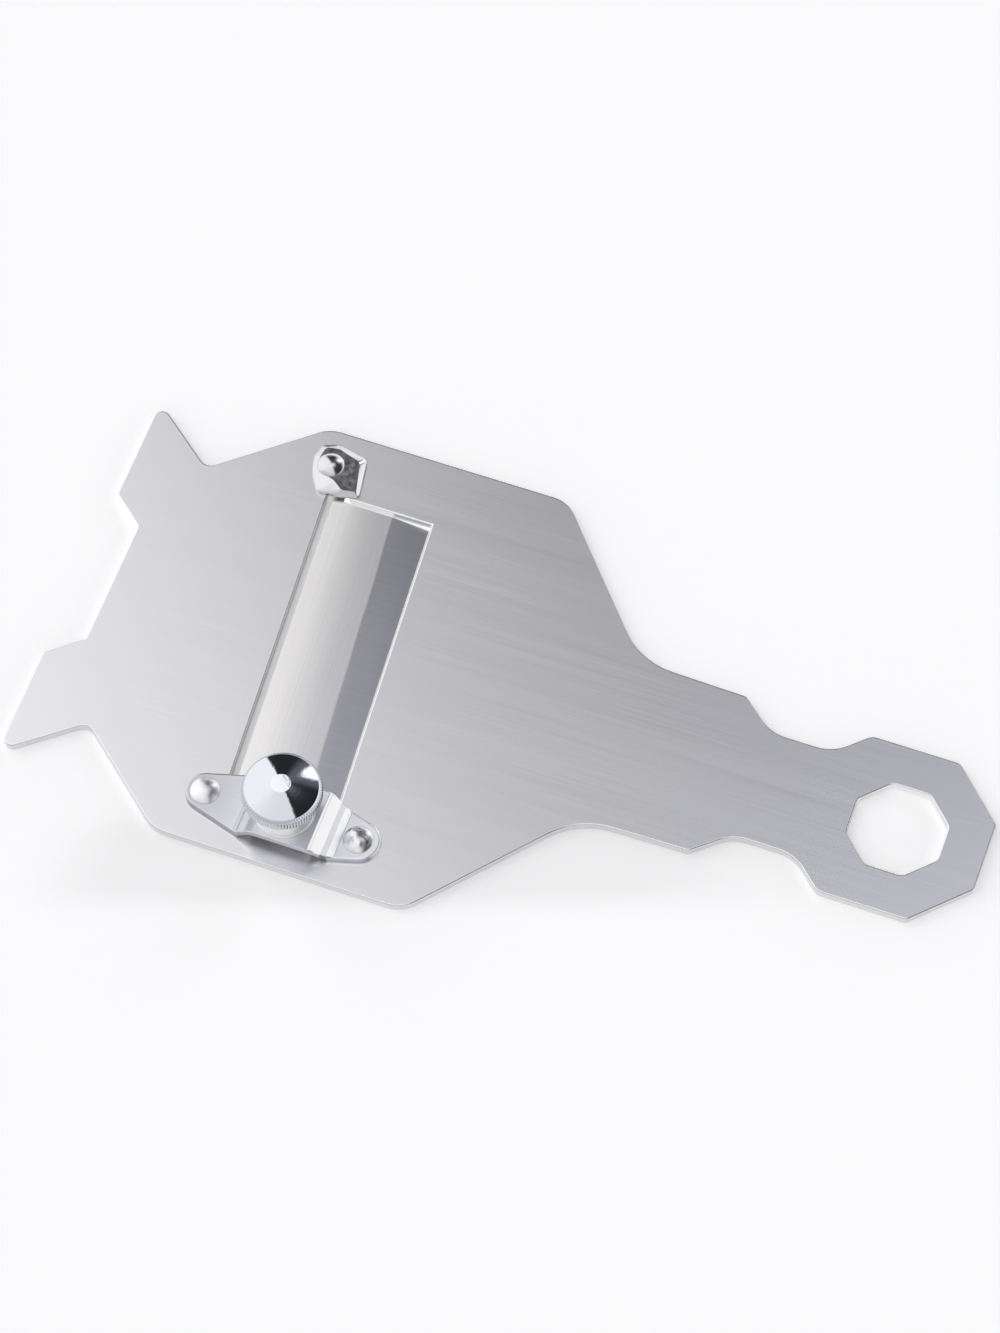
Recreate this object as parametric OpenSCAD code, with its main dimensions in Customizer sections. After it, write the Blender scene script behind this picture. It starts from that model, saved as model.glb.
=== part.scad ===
// Truffle slicer: a flat steel plate whose blade tilts in a window, set by a screw knob.
// The working face lies on z = 0, the knob side is up, and the ring end points along +X.

/* [Plate] */
// Overall length, from the horn tips to the end of the ring
plate_l = 185; // [178:1:200]
// Width across the body
plate_w = 94; // [90:1:104]
// Thickness of the plate
plate_t = 2; // [1.9:0.1:2.6]
// Length of the straight sides of the body
body_l = 50.6; // [46:0.2:56]
// Rounding of the body's four outer corners
body_corner_r = 7; // [3:0.5:10]
// Length over which the body narrows to the handle
taper_l = 25; // [21:0.5:30]
// Width of the handle where the body ends
handle_w = 36; // [33:0.5:40]
// Width of the handle where its waist starts
handle_end_w = 35; // [32:0.5:39]
// Fillet between the body and the handle
handle_fillet_r = 15; // [8:1:18]

/* [Horns] */
// Length of the horns, from their tips back to the valley beside them
horn_l = 14.4; // [12:0.2:17]
// Distance between the two horn tips
horn_span = 83.4; // [78:0.2:88]
// Rounding of the horn tips
horn_tip_r = 1.8; // [1:0.1:3]
// Depth of the gap between the horns
horn_gap_depth = 6.7; // [5:0.1:9]
// Width of that gap at its bottom
horn_gap_w = 26.6; // [22:0.2:30]
// Width of that gap at its mouth
horn_mouth_w = 37.6; // [34:0.2:42]
// Rounding of the gap's corners
horn_gap_r = 1; // [0.4:0.1:2]
// Width of the plate at the valleys behind the horns
valley_w = 60.8; // [56:0.2:66]
// Rounding of the valleys
valley_r = 2.3; // [1:0.1:4]
// Length from a valley to the body's straight side
cheek_l = 20; // [16:0.2:24]

/* [Ring] */
// Width across the flats of the eight-sided ring
ring_w = 34.8; // [32:0.2:38]
// Width across the flats of its eight-sided hanging hole
ring_hole_w = 17.8; // [14:0.2:22]
// Rounding of the ring's outer corners
ring_corner_r = 1.5; // [0.5:0.1:3]
// Rounding of the hole's corners
ring_hole_r = 2; // [0.5:0.1:3]
// Distance from the ring's centre to the shoulder where its straight side starts
ring_shoulder_l = 10.5; // [9:0.1:12]
// Rounding of that shoulder
ring_shoulder_r = 3; // [1:0.1:4]
// Length of the waist between the handle and the ring
waist_l = 25.3; // [22:0.1:28]
// Width at the bottom of the waist
waist_w = 23.3; // [20:0.1:27]
// Length of the waist's slope on the handle side
waist_handle_slope_l = 6.9; // [5:0.1:8]
// Length of the waist's slope on the ring side
waist_ring_slope_l = 6.2; // [5:0.1:8]
// Fillet at the bottom of the waist
waist_r = 8; // [5:0.5:10]
// Rounding of the handle's end corners
handle_corner_r = 1.2; // [0.5:0.1:3]

/* [Blade] */
// Angle in degrees between the blade and the plate's cross direction
blade_skew = 4.4; // [3:0.1:5.5]
// Distance from the front of the body's straight sides to the hinge line
blade_set = 9.9; // [8:0.1:12]
// Width of the blade, back edge to cutting edge
blade_w = 20.1; // [19.5:0.1:21]
// Thickness of the blade
blade_t = 1.2; // [1:0.05:1.4]
// Distance from the back edge to the hinge line
hinge_inset = 1.1; // [1.1:0.1:1.6]
// Width of the ground bevel
bevel_w = 6.75; // [5:0.05:8]
// Angle in degrees between the bevel's back line and the cutting edge
bevel_skew = 1.5; // [0:0.1:1.8]
// Thickness of the cutting edge at mid length
edge_t = 0.25; // [0.2:0.01:0.4]
// Gap between the window and the blade's back edge
back_gap = 1.25; // [0.6:0.05:1.6]
// Gap between the window and the cutting edge
edge_gap = 0.5; // [0.2:0.05:0.8]
// Gap between the window and the blade's ends
end_gap = 0.5; // [0.3:0.05:0.8]
// Distance from the plate's far side to the window's far end
window_inset = 14.1; // [13:0.1:17]

/* [Hinge] */
// Width of the flat necks at the blade's ends
neck_w = 2.2; // [1.8:0.1:2.2]
// Length of the necks
neck_l = 2.6; // [2.2:0.1:3]
// Gap beside a neck, towards the blade
neck_gap = 1.1; // [0.8:0.1:1.3]
// Diameter of the round trunnions
trunnion_d = 1.3; // [1.1:0.05:1.4]
// Length of a trunnion past its neck
trunnion_l = 4.6; // [3.6:0.1:5]
// Length of a trunnion that is joined to its neck
trunnion_root_l = 1; // [0.6:0.1:1.6]
// Running clearance round a trunnion
trunnion_gap = 0.05; // [0.04:0.01:0.08]
// Clearance past a trunnion's end
trunnion_end_gap = 0.4; // [0.3:0.1:0.6]

/* [Clip] */
// Width of the clip that keeps the upper trunnion in its groove
clip_w = 12; // [11:0.1:13]
// Length of the clip
clip_l = 11.4; // [11:0.1:12.4]
// Height of the clip's lower step
clip_step_h = 1.2; // [0.8:0.1:1.6]
// Height of the clip's raised top
clip_h = 2.4; // [2:0.1:3]
// Rounding of the clip's corners
clip_r = 1.4; // [0.8:0.1:1.8]
// Distance from the hinge line to the clip's rivet
clip_rivet_set = 3.3; // [3:0.1:3.6]
// Distance of the clip's rivet past the window's far end
clip_rivet_rise = 5.4; // [5:0.1:6]

/* [Bridge] */
// Distance from the plate's near side to the bridge's centre line
bridge_inset = 10.3; // [9.8:0.1:11]
// Thickness of the bridge strap
bridge_t = 1.1; // [0.9:0.05:1.3]
// Height of the bridge's underside above the plate
bridge_rise = 2.7; // [2.5:0.1:3.2]
// Width of the strap under the knob
bridge_w = 13.4; // [12.6:0.1:14]
// Radius of the foot round the rivet near the horns
front_foot_r = 3.9; // [3.6:0.1:4.4]
// Radius of the foot round the rivet near the handle
rear_foot_r = 4.3; // [3.6:0.1:4.6]
// Distance from the knob to the rivet near the horns
front_rivet_l = 16.5; // [15.6:0.1:17.4]
// Distance from the knob to the rivet near the handle
rear_rivet_l = 14.7; // [14.4:0.1:16]
// Length of the raised platform from the knob towards the horns
front_platform_l = 5; // [4.6:0.1:5.6]
// Length of the raised platform from the knob towards the handle
rear_platform_l = 7; // [6.4:0.1:7.2]
// Length of the ramp towards the horns
front_ramp_l = 2.3; // [1.8:0.1:2.8]
// Length of the ramp towards the handle
rear_ramp_l = 3.3; // [2.6:0.1:3.4]
// Inner radius of the bends
bend_r = 2.4; // [1.6:0.1:2.5]
// Rounding of the strap's wide corners
bridge_corner_r = 4; // [1:0.5:6]

/* [Rivets] */
// Diameter of the rivet shanks
rivet_d = 2.4; // [2:0.1:2.6]
// Diameter of the bridge rivets' heads
bridge_head_d = 5.8; // [5:0.1:6]
// Height of the bridge rivets' heads
bridge_head_h = 1.5; // [1.2:0.1:1.8]
// Diameter of the clip rivet's head
clip_head_d = 5.4; // [4.8:0.1:5.6]
// Height of the clip rivet's head
clip_head_h = 1.5; // [1.2:0.1:1.8]
// Diameter of the flush tails on the working face
tail_d = 4; // [3.6:0.1:4.4]
// Depth of the flush tails
tail_h = 0.8; // [0.6:0.1:1]
// Fit between a rivet and its holes
rivet_gap = 0.02; // [0.01:0.01:0.05]

/* [Knob] */
// Distance from the hinge line to the knob's axis
knob_set = 10.6; // [10.2:0.1:11]
// Diameter of the knurled rim
knob_d = 15.4; // [14:0.1:17]
// Height of the knurled rim
knob_rim_h = 2.3; // [2:0.1:3]
// Height of the cone above the rim
knob_cone_h = 2; // [1.4:0.1:3]
// Radius of the flat tip of the cone
knob_tip_r = 1.9; // [1.2:0.1:2.6]
// Diameter of the stem below the rim
knob_stem_d = 11.4; // [10:0.1:12]
// Height of the stem below the rim
knob_stem_h = 6.7; // [6:0.1:8]
// Chamfer at the edges of the rim and the stem
knob_chamfer = 0.35; // [0.2:0.05:0.5]
// Clearance between the knob and the washer under it
knob_gap = 0.05; // [0.03:0.01:0.1]
// Diameter of the washer
washer_d = 11.8; // [11:0.1:12.4]
// Thickness of the washer
washer_t = 0.5; // [0.4:0.05:0.7]

/* [Stud] */
// Diameter of the threaded stud
stud_d = 4; // [3.6:0.1:4.2]
// Distance across the two flats that keep the stud from turning
stud_flats = 3.3; // [3:0.1:3.5]
// Running clearance between the stud and its holes
stud_gap = 0.05; // [0.04:0.01:0.08]
// Length of the stud inside the knob
stud_reach = 7.4; // [6.6:0.1:7.6]
// Clearance past the stud's end inside the knob
stud_end_gap = 0.6; // [0.4:0.1:0.8]
// Radial play between the stud and the hole in the blade's tab
tab_hole_gap = 0.35; // [0.3:0.05:0.45]
// Length of the stud's hammer head
head_l = 7; // [6.4:0.1:7.2]
// Width of the hammer head
head_w = 4.6; // [4.4:0.1:5]
// Radius of the rounded top on which the blade rocks
head_crown_r = 6; // [5:0.5:7]
// Clearance between the hammer head and the blade's tab
head_gap = 0.12; // [0.1:0.01:0.16]
// Distance of the hammer head above the working face
head_inset = 0.1; // [0.05:0.01:0.15]

/* [Tab] */
// Width of the blade's tab under the bridge
tab_w = 9.6; // [9:0.1:10.4]
// Height by which the tab is stepped up from the blade
tab_rise = 1; // [0.9:0.05:1.1]
// Length of the tab past the stud
tab_reach = 4; // [3.8:0.1:4.4]
// Distance from the stud to the blade's near end
tab_l = 5.2; // [5:0.1:5.6]
// Overlap of the tab on the blade
tab_root_l = 0.9; // [0.6:0.1:1.2]
// Gap between the tab and the window
tab_gap = 0.8; // [0.5:0.05:1]

/* [Spring] */
// Diameter of the spring wire
wire_d = 0.5; // [0.4:0.02:0.5]
// Middle radius of the conical spring at its wide end, on the tab
spring_wide_r = 4.4; // [4.2:0.1:4.5]
// Middle radius of the conical spring at its narrow end, under the bridge
spring_narrow_r = 2.8; // [2.6:0.1:2.8]
// Number of curls
spring_curls = 2.25; // [2:0.125:2.25]
// Clearance at each end of the spring
spring_gap = 0.05; // [0.03:0.01:0.1]

/* [Hidden] */
$fn = 96;
overrun = 2;
corner_steps = 6;
head_steps = 12;
spring_rings = 8;
spring_sides = 6;
// Corners of the clip, from the end near the horns round to the near side, and the inner top's size
clip_outline_share = [[-0.35, 0.10], [-0.05, -0.54], [0.34, -0.51], [0.62, -0.42],
                      [0.48, 0.37], [-0.02, 0.46], [-0.25, 0.33]];
clip_top_share = 0.82;

// Stations of the plate's outline along X
tip_x = -plate_l / 2;
gap_x = tip_x + horn_gap_depth;
valley_x = tip_x + horn_l;
body_front_x = valley_x + cheek_l;
body_rear_x = body_front_x + body_l;
handle_x = body_rear_x + taper_l;
ring_x = plate_l / 2 - ring_w / 2;
shoulder_x = ring_x - ring_shoulder_l;
handle_end_x = shoulder_x - waist_l;
ring_side = ring_w * tan(180 / 8);

// The blade's own frame: u runs across the blade from the hinge line, v runs along it
hinge_x = body_front_x + blade_set;
hinge_z = plate_t - trunnion_gap - trunnion_d / 2;
back_u = -hinge_inset;
cut_u = blade_w - hinge_inset;
neck_u = neck_w / 2;
bevel_u = cut_u - bevel_w;
pocket_u = neck_u + neck_gap;
window_back_u = back_u - back_gap;
window_cut_u = cut_u + edge_gap;
groove_w = trunnion_d + 2 * trunnion_gap;
tab_u = knob_set - tab_w / 2;

// Ends of the blade and of its window, across the plate
window_reach = plate_w / 2 - window_inset;
far_end_y = window_reach - end_gap;
far_pocket_y = window_reach + neck_l;
bridge_y = -(plate_w / 2 - bridge_inset);
near_end_y = bridge_y + tab_l;
near_window_y = near_end_y - end_gap;
near_pocket_y = near_window_y - neck_l;
tab_end_y = bridge_y - tab_reach;
window_end_y = tab_end_y - end_gap;

// The knob's axis, and the heights above it
knob_v = blade_v(bridge_y, knob_set);
knob_x = hinge_x + knob_set * cos(blade_skew) - knob_v * sin(blade_skew);
platform_z = plate_t + bridge_rise + bridge_t;
washer_top_z = platform_z + washer_t;
knob_z = washer_top_z + knob_gap;
rim_z = knob_z + knob_stem_h;
cone_z = rim_z + knob_rim_h;
knob_top_z = cone_z + knob_cone_h;
stud_top_z = knob_z + stud_reach;
tab_top_z = tab_rise + blade_t;
crown_z = tab_rise - head_gap;
tab_v = blade_v(near_end_y, knob_set);
clip_rivet_y = window_reach + clip_rivet_rise;

// Where a line across the plate at height y meets the line u of the blade's frame
function blade_v(y, u) = (y - u * sin(blade_skew)) / cos(blade_skew);

function blade_point(u, y) = [u, blade_v(y, u)];

function unit(p) = p / norm(p);

// The corner b of the path a, b, c as an arc of radius r
function corner_arc(a, b, c, r) =
    let (in_dir = unit(a - b),
         out_dir = unit(c - b),
         half = acos(in_dir * out_dir) / 2,
         mid = b + unit(in_dir + out_dir) * r / sin(half),
         first = b + in_dir * r / tan(half) - mid,
         last = b + out_dir * r / tan(half) - mid,
         from = atan2(first.y, first.x),
         turn = atan2(first.x * last.y - first.y * last.x, first * last))
    [for (i = [0:corner_steps]) mid + r * [cos(from + turn * i / corner_steps),
                                           sin(from + turn * i / corner_steps)]];

// A closed outline whose corners are rounded by the radii beside them
function rounded(points, radii) =
    let (n = len(points))
    [for (i = [0:n - 1])
        each (radii[i] > 0
            ? corner_arc(points[(i + n - 1) % n], points[i], points[(i + 1) % n], radii[i])
            : [points[i]])];

function mirrored(points) = [for (i = [len(points) - 1:-1:0]) [points[i].x, -points[i].y]];

function reversed(list) = [for (i = [len(list) - 1:-1:0]) list[i]];

module at_blade() {
    translate([hinge_x, 0, 0]) rotate([0, 0, blade_skew]) children();
}

module at_knob() {
    translate([knob_x, bridge_y, 0]) children();
}

module at_clip_rivet() {
    translate([hinge_x - clip_rivet_y * tan(blade_skew) - clip_rivet_set, clip_rivet_y, 0]) children();
}

module at_front_rivet() {
    at_knob() translate([-front_rivet_l, 0, 0]) children();
}

module at_rear_rivet() {
    at_knob() translate([rear_rivet_l, 0, 0]) children();
}

// An eight-sided outline with rounded corners
function octagon(width, r) =
    rounded([for (i = [0:7]) width / 2 / cos(180 / 8) * [cos(45 * i + 180 / 8), sin(45 * i + 180 / 8)]],
            [for (i = [0:7]) r]);

// Half of the plate's outline, from the ring's end round to the gap between the horns
half_outline = [
    [plate_l / 2, ring_side / 2],
    [ring_x + ring_side / 2, ring_w / 2],
    [shoulder_x, ring_w / 2],
    [shoulder_x - waist_ring_slope_l, waist_w / 2],
    [handle_end_x + waist_handle_slope_l, waist_w / 2],
    [handle_end_x, handle_end_w / 2],
    [handle_x, handle_w / 2],
    [body_rear_x, plate_w / 2],
    [body_front_x, plate_w / 2],
    [valley_x, valley_w / 2],
    [tip_x, horn_span / 2],
    [tip_x, horn_mouth_w / 2],
    [gap_x, horn_gap_w / 2]];
half_radii = [ring_corner_r, ring_corner_r, ring_shoulder_r, waist_r, waist_r, handle_corner_r,
              handle_fillet_r, body_corner_r, body_corner_r, valley_r, horn_tip_r, horn_gap_r, horn_gap_r];

module plate_outline() {
    polygon(rounded(concat(half_outline, mirrored(half_outline)),
                    concat(half_radii, reversed(half_radii))));
}

// The window in the blade's frame, with a pocket at each end for the blade's necks
module window_outline() {
    tab_side_u = tab_u - tab_gap;
    polygon([
        blade_point(window_back_u, far_pocket_y),
        blade_point(pocket_u, far_pocket_y),
        blade_point(pocket_u, window_reach),
        blade_point(window_cut_u, window_reach),
        blade_point(window_cut_u, window_end_y),
        blade_point(tab_side_u, window_end_y),
        blade_point(tab_side_u, near_window_y),
        blade_point(pocket_u, near_window_y),
        blade_point(pocket_u, near_pocket_y),
        blade_point(window_back_u, near_pocket_y)]);
}

// A round-bottomed groove along the hinge line, open at the top
module trunnion_groove() {
    groove_l = trunnion_l + trunnion_end_gap + end_gap;
    translate([0, 0, hinge_z]) rotate([-90, 0, 0]) cylinder(d = groove_w, h = groove_l);
    translate([-groove_w / 2, 0, hinge_z]) cube([groove_w, groove_l, plate_t]);
}

// The shank and the flush tail of a rivet, larger all round by gap
module rivet_shank(top_z, gap) {
    cylinder(d = rivet_d + 2 * gap, h = top_z);
    cylinder(d1 = tail_d + 2 * gap, d2 = rivet_d + 2 * gap, h = tail_h);
}

module rivet_hole() {
    rivet_shank(platform_z, rivet_gap);
    translate([0, 0, -overrun]) cylinder(d = tail_d + 2 * rivet_gap, h = overrun);
}

module plate() {
    color([0.78, 0.79, 0.81])
    difference() {
        linear_extrude(plate_t) plate_outline();
        translate([0, 0, -overrun]) linear_extrude(plate_t + 2 * overrun) {
            at_blade() window_outline();
            translate([ring_x, 0]) polygon(octagon(ring_hole_w, ring_hole_r));
        }
        at_blade() {
            translate([0, blade_v(far_pocket_y, 0) - end_gap, 0]) trunnion_groove();
            translate([0, blade_v(near_pocket_y, 0) + end_gap, 0]) mirror([0, 1, 0]) trunnion_groove();
        }
        at_clip_rivet() rivet_hole();
        at_front_rivet() rivet_hole();
        at_rear_rivet() rivet_hole();
    }
}

// The flat blade with its necks, before grinding
module blade_blank() {
    linear_extrude(blade_t)
    polygon([
        blade_point(back_u, far_end_y),
        blade_point(-neck_u, far_end_y),
        blade_point(-neck_u, far_end_y + neck_l),
        blade_point(neck_u, far_end_y + neck_l),
        blade_point(neck_u, far_end_y),
        blade_point(cut_u, far_end_y),
        blade_point(cut_u, near_end_y),
        blade_point(neck_u, near_end_y),
        blade_point(neck_u, near_end_y - neck_l),
        blade_point(-neck_u, near_end_y - neck_l),
        blade_point(-neck_u, near_end_y),
        blade_point(back_u, near_end_y)]);
}

// What grinding takes off the top of the blade along its cutting edge
module bevel_cut() {
    run = bevel_w + 2 * overrun;
    slope = (blade_t - edge_t) / bevel_w;
    translate([bevel_u, 0, blade_t]) rotate([90, 0, bevel_skew])
    linear_extrude(2 * plate_w, center = true)
    polygon([[0, 0], [run, -slope * run], [run, overrun], [0, overrun]]);
}

// The tab under the bridge, bent up from the blade so that the stud's head fits below it
module tab() {
    end_v = blade_v(tab_end_y, knob_set);
    root_v = tab_v + tab_root_l;
    step_v = tab_v - tab_rise;
    translate([tab_u, 0, 0]) rotate([90, 0, 90]) linear_extrude(tab_w)
    polygon([[end_v, tab_rise], [step_v, tab_rise], [tab_v, 0], [root_v, 0],
             [root_v, blade_t], [tab_v, blade_t], [step_v, tab_top_z], [end_v, tab_top_z]]);
}

module trunnion() {
    translate([0, -trunnion_root_l, hinge_z]) rotate([-90, 0, 0])
    cylinder(d = trunnion_d, h = trunnion_root_l + trunnion_l);
}

module blade() {
    color([0.83, 0.81, 0.80])
    at_blade() difference() {
        union() {
            difference() {
                blade_blank();
                bevel_cut();
            }
            tab();
            translate([0, blade_v(far_end_y + neck_l, 0), 0]) trunnion();
            translate([0, blade_v(near_end_y - neck_l, 0), 0]) mirror([0, 1, 0]) trunnion();
        }
        translate([knob_set, knob_v, -overrun])
        cylinder(d = stud_d + 2 * tab_hole_gap, h = tab_top_z + 2 * overrun);
    }
}

module clip_outline(share) {
    polygon(rounded([for (p = clip_outline_share) share * [p.x * clip_w, p.y * clip_l]],
                    [for (p = clip_outline_share) share * clip_r]));
}

// The middle of the clip, between the rivet and the hinge line
clip_mid = [for (k = [0, 1]) (max([for (p = clip_outline_share) p[k]])
                              + min([for (p = clip_outline_share) p[k]])) / 2
                             * [clip_w, clip_l][k]];

module clip() {
    color([0.85, 0.85, 0.87])
    at_clip_rivet() difference() {
        translate([0, 0, plate_t]) {
            linear_extrude(clip_step_h) clip_outline(1);
            linear_extrude(clip_h)
            translate((1 - clip_top_share) * clip_mid) clip_outline(clip_top_share);
        }
        rivet_hole();
    }
}

// A low round head of diameter d and height h, made by turning an arc
module rivet_head(d, h) {
    r = (d * d / 4 + h * h) / (2 * h);
    reach = asin(d / 2 / r);
    rotate_extrude()
    polygon(concat([[0, 0]],
                   [for (i = [0:head_steps]) let (a = reach * (1 - i / head_steps))
                       [r * sin(a), r * cos(a) - r + h]]));
}

module rivet(seat_z, d, h) {
    rivet_shank(seat_z + h / 2, 0);
    translate([0, 0, seat_z]) rivet_head(d, h);
}

module clip_rivet() {
    color([0.86, 0.86, 0.87])
    at_clip_rivet() rivet(plate_t + clip_h, clip_head_d, clip_head_h);
}

// Where the line from m touches the circle of radius r round c, on the side given by sign
function touch(c, r, m, sign) =
    let (d = m - c, a = atan2(d.y, d.x) + sign * acos(r / norm(d)))
    c + r * [cos(a), sin(a)];

// The bridge seen from above: two round feet and a wide middle
module bridge_plan() {
    front_c = [-front_rivet_l, 0];
    rear_c = [rear_rivet_l, 0];
    front_m = [-front_platform_l - front_ramp_l, bridge_w / 2];
    rear_m = [rear_platform_l, bridge_w / 2];
    translate(front_c) circle(r = front_foot_r);
    translate(rear_c) circle(r = rear_foot_r);
    side = [touch(rear_c, rear_foot_r, rear_m, -1), rear_m, front_m,
            touch(front_c, front_foot_r, front_m, 1)];
    radii = [0, bridge_corner_r, bridge_corner_r, 0];
    polygon(rounded(concat(side, mirrored(side)), concat(radii, reversed(radii))));
}

// The bridge seen from the near side: foot, ramp, platform, ramp, foot
module bridge_profile() {
    front_end = -front_rivet_l - front_foot_r - overrun;
    rear_end = rear_rivet_l + rear_foot_r + overrun;
    low = [[front_end, 0], [-front_platform_l - front_ramp_l, 0], [-front_platform_l, bridge_rise],
           [rear_platform_l, bridge_rise], [rear_platform_l + rear_ramp_l, 0], [rear_end, 0]];
    front_lean = bridge_t * tan(atan2(bridge_rise, front_ramp_l) / 2);
    rear_lean = bridge_t * tan(atan2(bridge_rise, rear_ramp_l) / 2);
    lean = [0, -front_lean, -front_lean, rear_lean, rear_lean, 0];
    high = [for (i = [0:5]) low[i] + [lean[i], bridge_t]];
    outer_r = bend_r + bridge_t;
    polygon(rounded(concat(low, reversed(high)),
                    [0, outer_r, bend_r, bend_r, outer_r, 0, 0, bend_r, outer_r, outer_r, bend_r, 0]));
}

// The stud's section: round, with two flats
module stud_section(gap) {
    intersection() {
        circle(d = stud_d + 2 * gap);
        square([stud_d + 2 * overrun, stud_flats + 2 * gap], center = true);
    }
}

module bridge() {
    color([0.80, 0.81, 0.83])
    difference() {
        at_knob() difference() {
            intersection() {
                translate([0, bridge_w, plate_t]) rotate([90, 0, 0])
                linear_extrude(2 * bridge_w) bridge_profile();
                linear_extrude(platform_z + overrun) bridge_plan();
            }
            rotate([0, 0, blade_skew]) linear_extrude(platform_z + overrun) stud_section(stud_gap);
        }
        at_front_rivet() rivet_hole();
        at_rear_rivet() rivet_hole();
    }
}

module front_bridge_rivet() {
    color([0.84, 0.84, 0.85])
    at_front_rivet() rivet(plate_t + bridge_t, bridge_head_d, bridge_head_h);
}

module rear_bridge_rivet() {
    color([0.84, 0.84, 0.85])
    at_rear_rivet() rivet(plate_t + bridge_t, bridge_head_d, bridge_head_h);
}

module washer() {
    color([0.86, 0.86, 0.88])
    at_knob() translate([0, 0, platform_z]) difference() {
        cylinder(d = washer_d, h = washer_t);
        translate([0, 0, -overrun]) cylinder(d = stud_d + 4 * stud_gap, h = washer_t + 2 * overrun);
    }
}

module knob() {
    stem_r = knob_stem_d / 2;
    rim_r = knob_d / 2;
    c = knob_chamfer;
    bore_r = stud_d / 2 + stud_gap;
    color([0.90, 0.91, 0.95])
    at_knob() rotate_extrude()
    polygon([
        [bore_r, knob_z],
        [stem_r - c, knob_z],
        [stem_r, knob_z + c],
        [stem_r, rim_z],
        [rim_r - c, rim_z],
        [rim_r, rim_z + c],
        [rim_r, cone_z - c],
        [rim_r - c, cone_z],
        [knob_tip_r, knob_top_z],
        [0, knob_top_z],
        [0, stud_top_z + stud_end_gap],
        [bore_r, stud_top_z + stud_end_gap]]);
}

// The stud hangs the blade: its hammer head lies under the tab, with a rounded top to rock on
module stud() {
    color([0.75, 0.76, 0.78])
    at_knob() rotate([0, 0, blade_skew]) {
        translate([0, 0, crown_z - head_inset]) linear_extrude(stud_top_z - crown_z + head_inset)
        stud_section(0);
        intersection() {
            translate([0, 0, head_inset]) cylinder(d = head_l, h = crown_z);
            translate([-head_w / 2, -head_l, head_inset]) cube([head_w, 2 * head_l, crown_z]);
            translate([0, 0, crown_z - head_crown_r]) rotate([90, 0, 0])
            cylinder(r = head_crown_r, h = 2 * head_l, center = true);
        }
    }
}

// Points of the conical spring's middle line, from the tab up to the bridge
spring_low_z = tab_top_z + spring_gap + wire_d / 2;
spring_high_z = plate_t + bridge_rise - spring_gap - wire_d / 2;
spring_steps = floor(spring_curls * spring_rings);

function spring_point(i) =
    let (t = i / spring_steps,
         a = 360 * i / spring_rings,
         r = spring_wide_r + (spring_narrow_r - spring_wide_r) * t)
    [r * cos(a), r * sin(a), spring_low_z + (spring_high_z - spring_low_z) * t];

spring_line = [for (i = [0:spring_steps]) spring_point(i)];

// One ring of points round the wire at step i
function spring_ring(i) =
    let (along = unit(spring_point(i + 1) - spring_point(i - 1)),
         a = 360 * i / spring_rings,
         side = unit([cos(a), sin(a), 0] - along * (along * [cos(a), sin(a), 0])),
         up = cross(along, side))
    [for (k = [0:spring_sides - 1])
        spring_point(i) + wire_d / 2 * (side * cos(360 * k / spring_sides)
                                        + up * sin(360 * k / spring_sides))];

function wall_faces(n, sides) =
    [for (i = [0:n - 1]) for (k = [0:sides - 1])
        let (a = i * sides + k, b = i * sides + (k + 1) % sides)
        each [[a, a + sides, b], [b, a + sides, b + sides]]];

function cap_faces(first, sides, flip) =
    [for (k = [1:sides - 2]) flip ? [first, first + k + 1, first + k] : [first, first + k, first + k + 1]];

spring_least_gap = min([for (i = [0:spring_steps - spring_rings / 2])
                        for (j = [i + spring_rings / 2:spring_steps])
                            norm(spring_line[i] - spring_line[j])]) - wire_d;
echo("least gap of the spring to itself", spring_least_gap);

module spring() {
    color([0.62, 0.63, 0.65])
    at_knob() polyhedron(
        points = [for (i = [0:spring_steps]) each spring_ring(i)],
        faces = concat(wall_faces(spring_steps, spring_sides),
                       cap_faces(0, spring_sides, false),
                       cap_faces(spring_steps * spring_sides, spring_sides, true)));
}

plate();
blade();
clip();
clip_rivet();
bridge();
front_bridge_rivet();
rear_bridge_rivet();
washer();
knob();
stud();
spring();
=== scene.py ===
"""Looks of the truffle slicer: brushed steel plate, blade, clip, bridge, rivets and knob on a pale floor."""
import math

import bmesh
import bpy
from mathutils import Matrix, Vector


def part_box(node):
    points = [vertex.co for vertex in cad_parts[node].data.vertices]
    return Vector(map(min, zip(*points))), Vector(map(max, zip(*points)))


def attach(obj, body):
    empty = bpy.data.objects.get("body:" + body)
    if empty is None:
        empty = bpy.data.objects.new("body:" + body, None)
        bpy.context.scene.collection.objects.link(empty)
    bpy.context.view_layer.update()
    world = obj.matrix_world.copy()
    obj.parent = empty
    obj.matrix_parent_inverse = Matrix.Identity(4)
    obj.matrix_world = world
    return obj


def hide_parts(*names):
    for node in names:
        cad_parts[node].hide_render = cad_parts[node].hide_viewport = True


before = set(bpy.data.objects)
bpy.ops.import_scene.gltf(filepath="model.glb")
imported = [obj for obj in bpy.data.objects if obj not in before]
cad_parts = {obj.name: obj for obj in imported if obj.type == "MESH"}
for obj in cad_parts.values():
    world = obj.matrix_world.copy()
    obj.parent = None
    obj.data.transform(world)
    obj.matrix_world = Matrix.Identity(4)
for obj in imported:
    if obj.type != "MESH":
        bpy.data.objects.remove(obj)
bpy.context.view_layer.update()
MM = 0.001
PHOTO_W = 1000
X, Y, Z = (1.0, 0.0, 0.0), (0.0, 1.0, 0.0), (0.0, 0.0, 1.0)

# Camera, solved from the plate's outline in the photograph. Its clipping is in metres
FOCAL_PX = 4179
SENSOR_W, CLIP_START, CLIP_END = 36.0, 0.01, 20.0
AZIMUTH, ELEVATION, ROLL = 21.82, 61.94, -2.066
AIM = (-8.07, 8.69, 0.0)
DISTANCE = 810.4

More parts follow.
